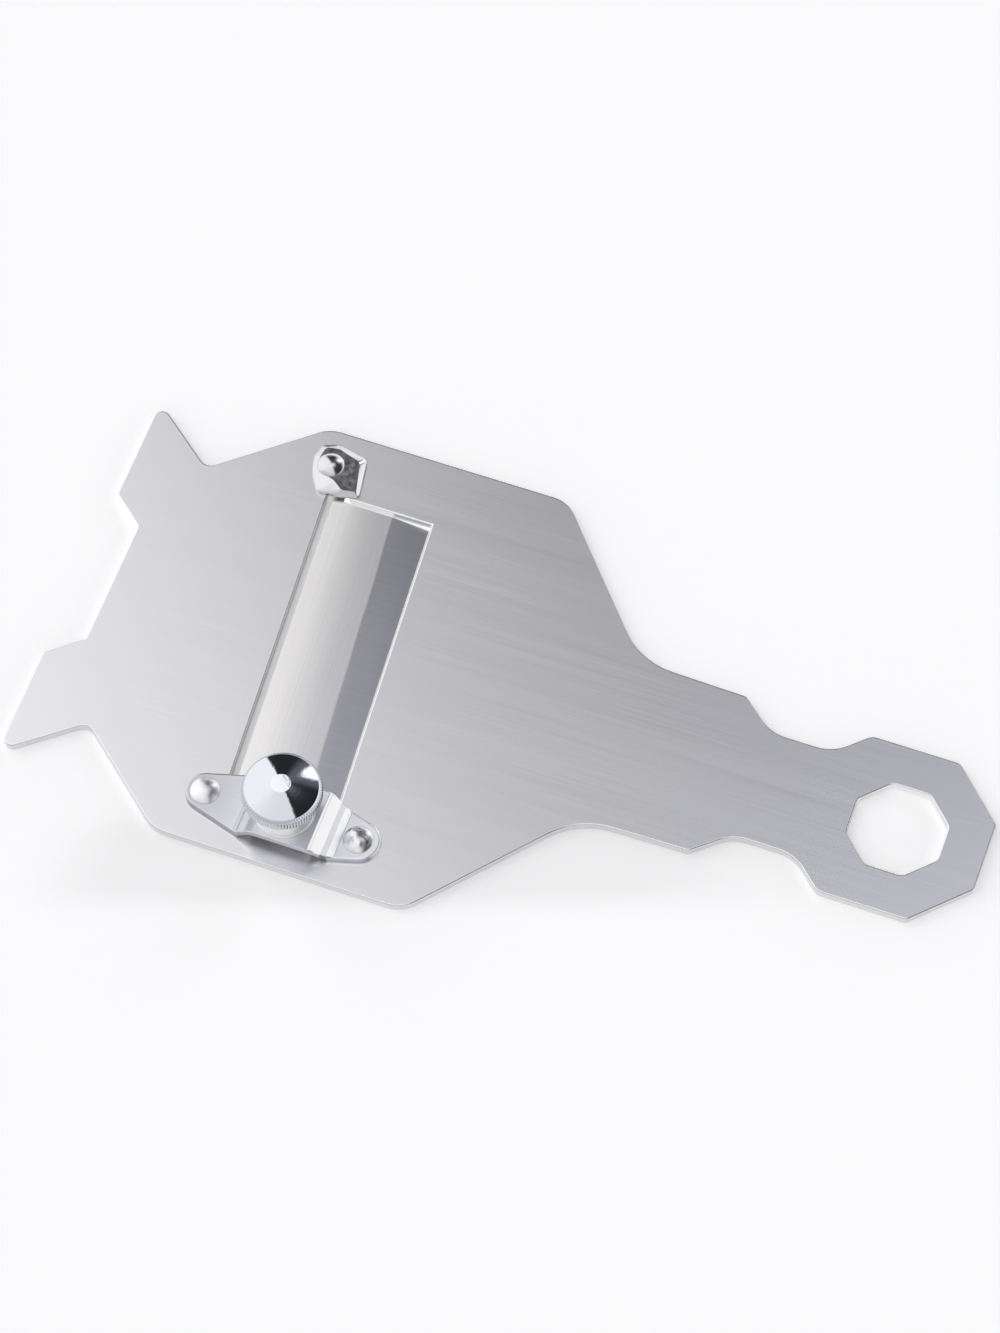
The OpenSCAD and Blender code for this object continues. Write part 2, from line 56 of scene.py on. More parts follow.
# Studio, as directions round the object: a white dome with a straight-edged dark side
WHITE, BLACK = 1.15, 0.025
DOME_TINT, DARK_TINT = (1.0, 1.0, 1.01, 1), (0.97, 0.98, 1.10, 1)
# The dark side: its turn round Z in radians, its lean, where its edge lies and half the edge's width
DARK_TURN, DARK_TILT, DARK_EDGE, DARK_SOFT = 0.70, 0.133, 0.003, 0.02
# It starts above this height, which falls towards -X, and over this width
LOW_EDGE, LOW_TILT, LOW_SOFT = 0.22, 0.28, 0.1
# The window in it: its azimuth and elevation, the radii of its edge and of its full light, and its gain
WINDOW, WINDOW_RADII, WINDOW_GAIN = (74.0, 30.0), (12.0, 7.0), 1.6
HALO_RADII, HALO_GAIN = (26.0, 9.0), 0.13
# Soft lobes: azimuth, elevation, sharpness and gain
LOBES = ((82.0, 70.7, 75.0, 1.38), (105.3, 67.4, 75.0, -0.26))
# The dome is dimmer where the camera stands, and low down on the knob's side
CAMERA_SPREAD, CAMERA_SHADE = (0.6, 0.97), 0.18
NEAR_SPREAD, NEAR_TOP, NEAR_SHADE = (0.15, 0.55), (0.7, 0.9), 0.65

# Floor: its half width and depth below the part, its tones and its glow
FLOOR_HALF, FLOOR_DROP = 3000.0, 0.1
FLOOR_TONES, FLOOR_CLOUD, FLOOR_ROUGH, FLOOR_GLOW = (0.90, 0.92), 6.0, 0.9, 0.335
# The faint painted shadow, a darker strip along the near edge: where it fades in and out, in depth and along
# X
FLOOR_DEPTH = (-0.335, 0.942, 0.0)
STRIP_IN, STRIP_OUT, STRIP_PAINTED_SHADOW = (-44.0, -35.0), (-27.0, -15.0), 0.85
STRIP_LEFT, STRIP_RIGHT, STRIP_REST = (-85.0, -55.0), (20.0, 70.0), 0.3
# The floor below the blade's window, which only its gaps show, with painted shade and light in its glow:
# spans along X and Y, and the glow there, dimmer than the rest in the first span and brighter in the second,
# which fades over this width
GAP_FADE = 1.0
GAP_PAINTED_GLOWS = (((-55.0, -45.0), (-44.0, 32.5), 0.23), ((-51.0, -24.0), (32.5, 42.0), 0.65))

# Brushing: how fine it is along X, Y and Z, the fine streaks' share, and the levels and gloss it spans
STREAKS, BANDS, STREAK_SHARE = (25.0, 3200.0, 600.0), (12.0, 420.0, 200.0), 0.65
BRUSH_SPREAD, BRUSH_GLOSS = (0.3, 0.7), (0.96, 1.04)
BRUSH_DEPTH, BRUSH_STRENGTH = 0.02, 0.03
# Painted shade and light on walls that face the knob's side, set by their place in a span of Y, up to this
# gain at its end
WALL_SPREAD, WALL_SPAN, WALL_GAIN = (0.1, 0.7), (0.0, 20.0), 1.2
# Painted shade on walls that face away from it too
FAR_WALL, FAR_SPREAD = (0.4, 0.9, 0.0), (0.1, 0.5)

# The blade's own lines, in millimetres and degrees, as in the part's source
HINGE_X = -48.2
SKEW = 4.4
BEVEL_U, BEVEL_SKEW = 12.25, 1.5
# Its tones, darkest and lightest, the bevel's fall in tone along Y, its uneven edge, and the flat's crown
FLAT_TONES = ((0.95, 0.93, 0.92, 1), (1.0, 0.985, 0.975, 1))
BEVEL_TONES = ((0.93, 0.94, 0.97, 1), (1.0, 1.0, 1.03, 1))
BEVEL_SPAN, BEVEL_FALL = (-30.0, 30.0), (0.64, 0.46)
BEVEL_WAVE, BEVEL_EDGE = 0.6, (-0.2, 0.3)
FLAT_ROUGH, BEVEL_ROUGH = 0.27, 0.34
CROWN_SLOPE, CROWN_BEND = 0.0215, 0.70
# How fine the flat's grain, the bevel's grain and the blotches are: along them, across them and in height
FLAT_GRAIN, BEVEL_GRAIN, BLOTCHES = (14.0, 2600.0, 400.0), (60.0, 1500.0, 400.0), (28.0, 90.0, 90.0)
# How fine the waves of the bevel's edge are, and the levels and the strength of the grain
EDGE_WAVES, GRAIN_SPREAD, GRAIN_STRENGTH = 60.0, (0.7, 1.3), 0.02

# The knob's profile and knurl
KNOB_BORE_R, KNOB_BORE_TOP = 2.05, 14.35
KNOB_STEM_R, KNOB_RIM_Z, KNOB_RIM_H = 5.7, 13.05, 1.95
KNOB_EDGE_R, KNOB_EDGE_Z, KNOB_TIP_R = 7.0, 15.62, 1.9
KNOB_SWELL = (4.6, 16.55, 40)
KNURL_TEETH, KNURL_STEPS, KNURL_DEPTH = 84, 8, 0.25
# Where the knurl starts, above the rim's foot and outside the cone, and over what length
KNURL_FOOT, KNURL_OUT = (0.15, 0.2), (0.25, 0.3)
# Painted light on its tip and stem and painted shade on its rim's knurl, and how much duller the rim and the
# stem are
TIP_PAINTED_LIGHT, KNURL_PAINTED_SHADE, STEM_PAINTED_LIGHT = 1.15, 0.8, 1.65
RIM_DULL, STEM_DULL = 0.12, 0.4
# Where those shades fade in: past the tip, past the cone's edge and below the rim
TIP_FADE, RIM_FADE, STEM_FADE = 0.15, (0.05, 0.3), 0.2

# Wear on bright metal: its fineness, its darkest tone, and its gloss between two levels of the noise
WEAR_SIZE, WEAR_TONE = 900.0, 0.97
WEAR_SPREAD, WEAR_GLOSS = (0.3, 0.75), (0.8, 1.25)
# How fine the unevenness of its skin is, and on the knob how deep
SKIN_SIZE, KNOB_SKIN_SIZE, KNOB_SKIN = 300.0, 1500.0, 0.008

# Bends of the bridge, sharper on its skin: where its slope changes, over what width and by how much
BRIDGE_RAMP = ((-42.7, 0.2, -1.30), (-38.9, 0.2, 1.30),
               (-28.0, 0.2, 0.80), (-25.4, 0.4, 0.12), (-24.5, 0.4, -0.12), (-23.15, 0.2, -0.80))
# They fade in before the first bend and out after the last, and keep to faces that look up
RAMP_START, RAMP_END = (-0.8, -0.6), (0.3, 0.5)
SIDE_SPREAD, TOP_SPREAD = (0.05, 0.2), (0.6, 0.7)
# Painted light and shade on it: its tone along X, a painted highlight on its rim towards the ring, and
# painted shade for the fold in its rear ramp
BRIDGE_SPAN, BRIDGE_PAINTED_FADE = (-50.0, -22.0), (0.80, 1.12)
RIM_AXIS, RIM_SPREAD, RIM_PAINTED_HIGHLIGHT = (0.8, 0.6, 0.0), (0.15, 0.5), 2.0
FOLD, FOLD_SOFT, FOLD_PAINTED_SHADE = (-25.9, -24.1), 0.6, 0.36

# Rivets: shank, flush tail, the head's straight edge and the lip under it, and steps up the dome and round it
RIVET_R, TAIL_R, TAIL_H = 1.2, 2.0, 0.8
HEAD_EDGE, HEAD_LIP = 0.06, 0.1
DOME_STEPS, ROUND_STEPS = 24, 96
# Seat and top of each head
CLIP_HEAD, BRIDGE_HEAD = (3.6, 4.6), (3.1, 4.1)
# Shallow dents of the rear bridge rivet's head: waves round it, waves from its middle out, and depth
DENT_ROUND, DENT_OUT, DENT_DEPTH = 3, 1.2, 0.13
DENT_TURN, DENT_SWAY = 2.0, 2.0

# Clip: corners of its foot and of its flat top round the rivet, each with a rounding
CLIP_FOOT = ((-4.15, 1.4, 1.6), (-3.3, -2.0, 3.0), (-0.6, -6.1, 1.3), (3.4, -5.7, 3.0), (7.7, -4.7, 0.9),
             (6.2, 4.0, 1.5), (-0.2, 5.4, 2.6), (-3.3, 4.2, 1.5))
CLIP_TOP = ((-2.7, 0.9, 1.0), (-1.7, -1.9, 1.2), (1.9, -3.2, 1.4), (4.0, -4.7, 1.2), (6.9, -4.1, 0.5),
            (5.2, 2.4, 1.0), (0.4, 4.0, 2.0), (-2.3, 3.5, 1.0))
# Its side from foot to top, as the share of the way in and the height, and how the top leans
CLIP_EDGE = ((0.0, 0.0), (0.0, 0.7), (0.03, 0.8), (0.1, 0.92), (0.93, 1.54), (0.965, 1.575), (1.0, 1.6))
CLIP_TILT = (0.03, 0.016)


def make_camera():
    data = bpy.data.cameras.new("camera")
    data.sensor_fit = "HORIZONTAL"
    data.sensor_width = SENSOR_W
    data.lens = FOCAL_PX / PHOTO_W * data.sensor_width
    data.clip_start, data.clip_end = CLIP_START, CLIP_END
    cam = bpy.data.objects.new("camera", data)
    bpy.context.scene.collection.objects.link(cam)
    a, e, r = (math.radians(x) for x in (AZIMUTH, ELEVATION, ROLL))
    back = Vector((math.sin(a) * math.cos(e), -math.cos(a) * math.cos(e), math.sin(e)))
    level = Vector((math.cos(a), math.sin(a), 0.0))
    rise = back.cross(level)
    right = level * math.cos(r) + rise * math.sin(r)
    up = back.cross(right)
    place = (Vector(AIM) + back * DISTANCE) * MM
    turn = Matrix((right, up, back)).transposed().to_4x4()
    cam.matrix_world = Matrix.Translation(place) @ turn
    bpy.context.scene.camera = cam


class Nodes:
    """Adds shader nodes to a tree in few words."""

    def __init__(self, tree):
        self.tree = tree
        tree.nodes.clear()

    def add(self, kind, props=None, **inputs):
        n = self.tree.nodes.new(kind)
        for k, v in (props or {}).items():
            setattr(n, k, v)
        for k, v in inputs.items():
            self.put(n, k.replace("_", " "), v)
        return n

    def put(self, n, key, value):
        socket = n.inputs[int(key)] if key.isdigit() else n.inputs[key]
        if isinstance(value, bpy.types.NodeSocket):
            self.tree.links.new(value, socket)
        else:
            socket.default_value = value

    def math(self, op, a, b=None):
        n = self.add("ShaderNodeMath", {"operation": op})
        self.put(n, "0", a)
        if b is not None:
            self.put(n, "1", b)
        return n.outputs[0]

    def product(self, *factors):
        out = factors[0]
        for factor in factors[1:]:
            out = self.math("MULTIPLY", out, factor)
        return out

    def ramp(self, value, lo, hi, out_lo=0.0, out_hi=1.0, smooth=True):
        n = self.add("ShaderNodeMapRange", {"interpolation_type": "SMOOTHSTEP" if smooth else "LINEAR"})
        for key, v in (("Value", value), ("From Min", lo), ("From Max", hi),
                       ("To Min", out_lo), ("To Max", out_hi)):
            self.put(n, key, v)
        return n.outputs[0]

    def between(self, value, span, fade):
        """1 within the span and 0 outside it, fading inwards from both ends, in millimetres."""
        first, last = span
        return self.product(self.ramp(value, first * MM, (first + fade) * MM),
                            self.ramp(value, (last - fade) * MM, last * MM, 1.0, 0.0))

    def mix(self, fac, a, b):
        n = self.add("ShaderNodeMix", {"data_type": "RGBA"})
        for i, v in ((0, fac), (6, a), (7, b)):
            if isinstance(v, bpy.types.NodeSocket):
                self.tree.links.new(v, n.inputs[i])
            else:
                n.inputs[i].default_value = v
        return n.outputs[2]

    def scale(self, colour, factor):
        n = self.add("ShaderNodeVectorMath", {"operation": "SCALE"})
        self.put(n, "0", colour)
        self.put(n, "Scale", factor)
        return n.outputs[0]

    def noise(self, vector, scale, detail=2.0, rough=0.5):
        n = self.add("ShaderNodeTexNoise", {"noise_dimensions": "3D"},
                     Vector=vector, Scale=scale, Detail=detail)
        n.inputs["Roughness"].default_value = rough
        return n.outputs["Fac"]

    def dot(self, vector, axis):
        n = self.add("ShaderNodeVectorMath", {"operation": "DOT_PRODUCT"})
        self.put(n, "0", vector)
        self.put(n, "1", axis)
        return n.outputs["Value"]

    def stretched(self, vector, turn, scale):
        """The place, turned so that X runs along a brushing, and scaled."""
        n = self.add("ShaderNodeMapping", {"vector_type": "TEXTURE"}, Vector=vector)
        n.inputs["Rotation"].default_value = (0, 0, turn)
        m = self.add("ShaderNodeMapping", {"vector_type": "POINT"}, Vector=n.outputs[0])
        m.inputs["Scale"].default_value = scale
        return m.outputs[0]

    def bump(self, height, distance, normal=None, strength=1.0):
        n = self.add("ShaderNodeBump", Height=height)
        n.inputs["Strength"].default_value = strength
        n.inputs["Distance"].default_value = distance
        if normal is not None:
            self.put(n, "Normal", normal)
        return n.outputs[0]

    def tangent(self, x, y):
        """The direction (x, y) of the object, for the shader's tangent."""
        axis = self.add("ShaderNodeCombineXYZ", X=x, Y=y, Z=0.0)
        n = self.add("ShaderNodeVectorTransform",
                     {"vector_type": "VECTOR", "convert_from": "OBJECT", "convert_to": "WORLD"})
        self.put(n, "0", axis.outputs[0])
        return n.outputs[0]


def aim(azimuth, elevation):
    """A direction from its azimuth, counted from +X towards +Y, and its elevation, in degrees."""
    a, e = math.radians(azimuth), math.radians(elevation)
    return (math.cos(a) * math.cos(e), math.sin(a) * math.cos(e), math.sin(e))


def cone(degrees):
    """The dot product of two directions that are this far apart."""
    return math.cos(math.radians(degrees))


def make_world():
    """A white studio: a straight-edged dark side towards +X and +Y, one window in it, and two soft lobes."""
    world = bpy.data.worlds.new("studio")
    bpy.context.scene.world = world
    world.use_nodes = True
    t = Nodes(world.node_tree)
    out = t.add("ShaderNodeOutputWorld")
    back = t.add("ShaderNodeBackground")
    d = t.add("ShaderNodeTexCoord").outputs["Generated"]

    across = t.dot(d, (math.cos(DARK_TURN), math.sin(DARK_TURN), -DARK_TILT))
    side = t.ramp(across, DARK_EDGE - DARK_SOFT, DARK_EDGE + DARK_SOFT)
    above = t.ramp(t.dot(d, (-LOW_TILT, 0.0, 1.0)), LOW_EDGE, LOW_EDGE + LOW_SOFT)
    dark = t.product(side, above)

    to_camera = t.dot(d, aim(AZIMUTH - 90, ELEVATION))
    dome = t.ramp(to_camera, *CAMERA_SPREAD, WHITE, WHITE * (1 - CAMERA_SHADE))
    near = t.ramp(t.dot(d, (0.0, -1.0, 0.0)), *NEAR_SPREAD)
    low = t.product(near, t.ramp(t.dot(d, Z), *NEAR_TOP, 1.0, 0.0))
    dome = t.product(dome, t.ramp(low, 0.0, 1.0, 1.0, NEAR_SHADE))
    lit = t.product(dome, t.math("SUBTRACT", 1.0, dark))
    level = t.math("ADD", lit, t.product(dark, BLACK))

    to_window = t.dot(d, aim(*WINDOW))
    for radii, gain in ((WINDOW_RADII, WINDOW_GAIN), (HALO_RADII, HALO_GAIN)):
        level = t.math("ADD", level, t.ramp(to_window, cone(radii[0]), cone(radii[1]), 0.0, gain))
    for az, el, sharp, gain in LOBES:
        close = t.math("SUBTRACT", t.dot(d, aim(az, el)), 1.0)
        lobe = t.math("EXPONENT", t.product(close, sharp))
        level = t.math("ADD", level, t.product(lobe, gain))
    level = t.math("MAXIMUM", level, 0.0)
    t.put(back, "Color", t.scale(t.mix(dark, DOME_TINT, DARK_TINT), level))
    t.put(out, "Surface", back.outputs[0])


def start_material(name):
    """A metal material: its nodes, its shader and the place on the object."""
    m = bpy.data.materials.new(name)
    m.use_nodes = True
    t = Nodes(m.node_tree)
    out = t.add("ShaderNodeOutputMaterial")
    shader = t.add("ShaderNodeBsdfPrincipled")
    shader.inputs["Metallic"].default_value = 1.0
    t.put(out, "Surface", shader.outputs[0])
    return m, t, shader, t.add("ShaderNodeTexCoord")


def bridge_painted_light_and_shade(t, x, true):
    """Painted light and shade on the bridge: its fade along X, a painted highlight on its rim and painted
    shade on its fold.
    """
    fade = t.ramp(x, *(v * MM for v in BRIDGE_SPAN), *BRIDGE_PAINTED_FADE, smooth=False)
    rim = t.ramp(t.dot(true, RIM_AXIS), *RIM_SPREAD, 1.0, RIM_PAINTED_HIGHLIGHT)
    fold = t.between(x, FOLD, FOLD_SOFT)
    return t.product(fade, rim, t.ramp(fold, 0.0, 1.0, 1.0, FOLD_PAINTED_SHADE))


def bridge_normal(t, x, true, normal):
    """The bridge's normal, turned on its upward faces by the slopes of BRIDGE_RAMP."""
    slope = 0.0
    for at, wide, rise in BRIDGE_RAMP:
        slope = t.math("ADD", slope, t.ramp(x, (at - wide / 2) * MM, (at + wide / 2) * MM, 0.0, rise))
    leant = t.add("ShaderNodeCombineXYZ", X=slope, Y=0.0, Z=1.0)
    turned = t.add("ShaderNodeVectorTransform",
                   {"vector_type": "NORMAL", "convert_from": "OBJECT", "convert_to": "WORLD"})
    t.put(turned, "0", leant.outputs[0])
    first, last = BRIDGE_RAMP[0][0], BRIDGE_RAMP[-1][0]
    top = t.product(t.ramp(t.math("ABSOLUTE", t.dot(true, Y)), *SIDE_SPREAD, 1.0, 0.0),
                    t.ramp(t.dot(true, Z), *TOP_SPREAD),
                    t.ramp(x, *((first + v) * MM for v in RAMP_START)),
                    t.ramp(x, *((last + v) * MM for v in RAMP_END), 1.0, 0.0))
    both = t.add("ShaderNodeMix", {"data_type": "VECTOR"})
    for i, v in ((0, top), (4, normal), (5, turned.outputs[0])):
        t.tree.links.new(v, both.inputs[i])
    return both.outputs[1]


def brushed(name, tint, roughness, contrast, aniso, near, far=1.0, bent=False):
    """Steel brushed along X: fine streaks in tint, roughness and height, and painted shade and light on its
    walls by the way they face.
    """
    m, t, shader, coord = start_material(name)
    shader.inputs["Anisotropic"].default_value = aniso
    place, true = coord.outputs["Object"], coord.outputs["Normal"]
    x, y = t.dot(place, X), t.dot(place, Y)
    streak = t.noise(t.stretched(place, 0.0, STREAKS), 1.0, detail=3.0)
    band = t.noise(t.stretched(place, 0.0, BANDS), 1.0, detail=2.0)
    both = t.math("ADD", t.product(streak, STREAK_SHARE), t.product(band, 1 - STREAK_SHARE))
    lo = tuple(c * (1 - contrast) for c in tint) + (1,)
    hi = tuple(min(1.0, c * (1 + contrast)) for c in tint) + (1,)
    # Painted shade and light on the walls, by the way they face and their place along Y
    wall = t.ramp(t.dot(true, (0.0, -1.0, 0.0)), *WALL_SPREAD)
    painted_wall_shade = t.product(wall, t.ramp(y, *(v * MM for v in WALL_SPAN), near - 1.0, WALL_GAIN - 1.0))
    shade = t.product(t.math("ADD", painted_wall_shade, 1.0), t.ramp(t.dot(true, FAR_WALL), *FAR_SPREAD, 1.0, far))
    normal = t.bump(band, BRUSH_DEPTH * MM, strength=BRUSH_STRENGTH)
    if bent:
        # Painted light and shade of the bridge along X, on its rim and in its fold
        shade = t.product(shade, bridge_painted_light_and_shade(t, x, true))
        normal = bridge_normal(t, x, true, normal)
    t.put(shader, "Base Color", t.scale(t.mix(t.ramp(both, *BRUSH_SPREAD), lo, hi), shade))
    t.put(shader, "Roughness", t.ramp(both, *BRUSH_SPREAD, *(roughness * gloss for gloss in BRUSH_GLOSS)))
    t.put(shader, "Normal", normal)
    t.put(shader, "Tangent", t.tangent(0.0, 1.0))
    return m


def ground_blade(name):
    """Satin blade steel with a crown across its width, and the darker, cross-ground bevel."""
    m, t, shader, coord = start_material(name)
    place = coord.outputs["Object"]
    skew, bevel_turn = math.radians(SKEW), math.radians(SKEW + BEVEL_SKEW)
    across, lean = (math.cos(skew), math.sin(skew), 0.0), (math.cos(bevel_turn), math.sin(bevel_turn), 0.0)
    u = t.math("SUBTRACT", t.dot(place, across), HINGE_X * MM * across[0])
    ridge = Vector((HINGE_X + BEVEL_U * across[0], BEVEL_U * across[1], 0.0)) * MM
    past = t.math("SUBTRACT", t.dot(place, lean), ridge.dot(Vector(lean)))
    wave = t.product(t.math("SUBTRACT", t.noise(place, EDGE_WAVES), 0.5), BEVEL_WAVE * MM)
    bevel = t.ramp(t.math("ADD", past, wave), *(v * MM for v in BEVEL_EDGE))

    along = t.noise(t.stretched(place, skew + math.pi / 2, FLAT_GRAIN), 1.0, detail=3.0)
    cross = t.noise(t.stretched(place, skew, BEVEL_GRAIN), 1.0, detail=3.0)
    blotch = t.noise(t.stretched(place, skew + math.pi / 2, BLOTCHES), 1.0, detail=2.0)
    flat, ground = (t.mix(t.ramp(t.math("ADD", grain, blotch), *GRAIN_SPREAD), *tones)
                    for grain, tones in ((along, FLAT_TONES), (cross, BEVEL_TONES)))
    fall = t.ramp(t.dot(place, Y), *(v * MM for v in BEVEL_SPAN), *BEVEL_FALL, smooth=False)
    t.put(shader, "Base Color", t.mix(bevel, flat, t.scale(ground, fall)))
    t.put(shader, "Roughness", t.ramp(bevel, 0.0, 1.0, FLAT_ROUGH, BEVEL_ROUGH))
    crown = t.math("SUBTRACT", t.product(u, CROWN_SLOPE), t.product(t.product(u, u), CROWN_BEND))
    t.put(shader, "Normal", t.bump(crown, 1.0, t.bump(along, BRUSH_DEPTH * MM, strength=GRAIN_STRENGTH)))
    return m


def worn(t, place, tint, roughness):
    """Colour and roughness of bright metal with faint wear."""
    cloud = t.noise(place, WEAR_SIZE, detail=4.0, rough=0.6)
    colour = t.mix(cloud, tuple(c * WEAR_TONE for c in tint) + (1,), tuple(tint) + (1,))
    return colour, t.ramp(cloud, *WEAR_SPREAD, *(roughness * gloss for gloss in WEAR_GLOSS))


def polished(name, tint, roughness, uneven=0.0):
    """Bright metal with faint wear in its gloss and, if asked, a slightly uneven skin, in millimetres."""
    m, t, shader, coord = start_material(name)
    place = coord.outputs["Object"]
    colour, gloss = worn(t, place, tint, roughness)
    t.put(shader, "Base Color", colour)
    t.put(shader, "Roughness", gloss)
    if uneven:
        t.put(shader, "Normal", t.bump(t.noise(place, SKIN_SIZE, detail=1.0), uneven * MM))
    return m


def turned_chrome(name, tint, roughness):
    """Bright plating on the cone, with painted shade and a duller finish in the knurl, a satin finish and
    painted light on the stem, and painted light on the flat tip.
    """
    m, t, shader, coord = start_material(name)
    place = coord.outputs["Object"]
    off = t.add("ShaderNodeVectorMath", {"operation": "SUBTRACT"})
    t.put(off, "0", place)
    t.put(off, "1", Vector((KNOB.x, KNOB.y, 0.0)) * MM)
    flat = t.add("ShaderNodeVectorMath", {"operation": "MULTIPLY"})
    t.put(flat, "0", off.outputs[0])
    t.put(flat, "1", (1.0, 1.0, 0.0))
    reach = t.add("ShaderNodeVectorMath", {"operation": "LENGTH"})
    t.put(reach, "0", flat.outputs[0])
    r = reach.outputs["Value"]
    # Painted light on the flat tip and the stem, and painted shade on the knurled rim
    tip = t.ramp(r, KNOB_TIP_R * MM, (KNOB_TIP_R + TIP_FADE) * MM, TIP_PAINTED_LIGHT, 1.0)
    rim = t.ramp(r, *((KNOB_EDGE_R + v) * MM for v in RIM_FADE))
    stem = t.ramp(t.dot(place, Z), (KNOB_RIM_Z - STEM_FADE) * MM, KNOB_RIM_Z * MM, 1.0, 0.0)
    colour, gloss = worn(t, place, tint, roughness)
    shade = t.product(tip, t.ramp(rim, 0.0, 1.0, 1.0, KNURL_PAINTED_SHADE), t.math("SUBTRACT", 1.0, stem))
    t.put(shader, "Base Color", t.scale(colour, t.math("ADD", shade, t.product(stem, STEM_PAINTED_LIGHT))))
    gloss = t.math("ADD", gloss, t.product(rim, RIM_DULL))
    t.put(shader, "Roughness", t.math("ADD", gloss, t.product(stem, STEM_DULL)))
    t.put(shader, "Normal", t.bump(t.noise(place, KNOB_SKIN_SIZE, detail=1.0), KNOB_SKIN * MM))
    return m


def floor_material():
    """Pale matt floor with a faint painted shadow along the near edge, and a glow of its own, with painted
    shade and light below the gaps.
    """
    m = bpy.data.materials.new("pale_floor")
    m.use_nodes = True
    t = Nodes(m.node_tree)
    out = t.add("ShaderNodeOutputMaterial")
    shader = t.add("ShaderNodeBsdfPrincipled")
    shader.inputs["Roughness"].default_value = FLOOR_ROUGH
    place = t.add("ShaderNodeTexCoord").outputs["Object"]
    x, y, depth = (t.dot(place, axis) for axis in (X, Y, FLOOR_DEPTH))
    # Painted shadow: a faint darker strip along the near edge
    painted_shadow = t.product(t.ramp(depth, *(v * MM for v in STRIP_IN)),
                      t.ramp(depth, *(v * MM for v in STRIP_OUT), 1.0, 0.0),
                      t.ramp(x, *(v * MM for v in STRIP_RIGHT), 1.0, STRIP_REST),
                      t.ramp(x, *(v * MM for v in STRIP_LEFT)))
    light = t.mix(t.noise(place, FLOOR_CLOUD), *((tone, tone, tone, 1) for tone in FLOOR_TONES))
    t.put(shader, "Base Color", t.scale(light, t.ramp(painted_shadow, 0.0, 1.0, 1.0, STRIP_PAINTED_SHADOW)))
    shader.inputs["Emission Color"].default_value = (1, 1, 1, 1)
    glow = FLOOR_GLOW
    # Painted shade and light: the glow below the gaps is dimmer in the first span and brighter in the second
    for span_x, span_y, level in GAP_PAINTED_GLOWS:
        inside = t.product(t.between(x, span_x, GAP_FADE), t.between(y, span_y, GAP_FADE))
        glow = t.math("ADD", glow, t.product(inside, level - FLOOR_GLOW))
    t.put(shader, "Emission Strength", glow)
    t.put(out, "Surface", shader.outputs[0])
    return m


def new_object(name, bm, material):
    mesh = bpy.data.meshes.new(name)
    bm.to_mesh(mesh)
    bm.free()
    o = bpy.data.objects.new(name, mesh)
    bpy.context.scene.collection.objects.link(o)
    mesh.materials.append(material)
    return o


def make_floor():
    bm = bmesh.new()
    bmesh.ops.create_grid(bm, x_segments=2, y_segments=2, size=FLOOR_HALF * MM)
    floor = new_object("floor", bm, floor_material())
    floor.location.z = -FLOOR_DROP * MM


def finish_node(name, material, bevel=0.15, angle=25):
    """A CAD node with clean faces and its material, with edges that turn past the angle rounded."""
    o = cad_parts[name]
    o.data.materials.clear()
    o.data.materials.append(material)
    if "custom_normal" in o.data.attributes:
        o.data.attributes.remove(o.data.attributes["custom_normal"])
    for p in o.data.polygons:
        p.use_smooth = True
    weld = o.modifiers.new("weld", "WELD")
    weld.merge_threshold = 1e-6
    flat = o.modifiers.new("flat", "DECIMATE")
    flat.decimate_type = "DISSOLVE"
    flat.angle_limit = math.radians(0.5)
    edge = o.modifiers.new("edge", "BEVEL")
    edge.width = bevel * MM
    edge.segments = 3
    edge.limit_method = "ANGLE"
    edge.angle_limit = math.radians(angle)
    edge.harden_normals = True
    edge.use_clamp_overlap = False
    return o


def node_box(name):
    """A CAD node's middle, lowest and highest corners in millimetres."""
    lo, hi = (Vector(c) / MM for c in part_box(name))
    return (lo + hi) / 2, lo, hi


def rounded(points, radii, steps, closed=False):
    """The path through the points, its corners rounded by the radii."""
    out = []
    n = len(points)
    for i, (corner, r) in enumerate(zip(points, radii)):
        p = Vector(corner)
        if r == 0 or (not closed and i in (0, n - 1)):
            out.append(p)
            continue
        a, c = Vector(points[i - 1]) - p, Vector(points[(i + 1) % n]) - p
        a.normalize()
        c.normalize()
        half = a.angle(c) / 2
        mid = p + (a + c).normalized() * r / math.sin(half)
        first, last = p + a * r / math.tan(half) - mid, p + c * r / math.tan(half) - mid
        turn = first.angle_signed(last)
        for k in range(steps + 1):
            out.append(mid + Matrix.Rotation(-turn * k / steps, 2) @ first)
    return out


def lathe(name, centre, profile, steps, material, push=None):
    """Turns a profile of (radius, height) points, listed from the bottom up, round a vertical axis."""
    bm = bmesh.new()
    rings = []
    for r, z in profile:
        if r < 1e-6:
            rings.append([bm.verts.new((centre.x * MM, centre.y * MM, z * MM))])
            continue
        ring = []
        for k in range(steps):
            a = 2 * math.pi * k / steps
            reach = r - (push(a, r, z) if push else 0.0)
            ring.append(bm.verts.new(((centre.x + reach * math.cos(a)) * MM,
                                      (centre.y + reach * math.sin(a)) * MM, z * MM)))
        rings.append(ring)
    for low, high in zip(rings, rings[1:]):
        for k in range(steps):
            j = (k + 1) % steps
            if len(low) == 1:
                bm.faces.new((low[0], high[j], high[k]))
            elif len(high) == 1:
                bm.faces.new((low[k], low[j], high[0]))
            else:
                bm.faces.new((low[k], low[j], high[j], high[k]))
    bmesh.ops.recalc_face_normals(bm, faces=bm.faces)
    for f in bm.faces:
        f.smooth = True
    return new_object(name, bm, material)


def stand_for(piece, node, body):
    """Puts the piece in the node's place, on its body."""
    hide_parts(node)
    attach(piece, body)


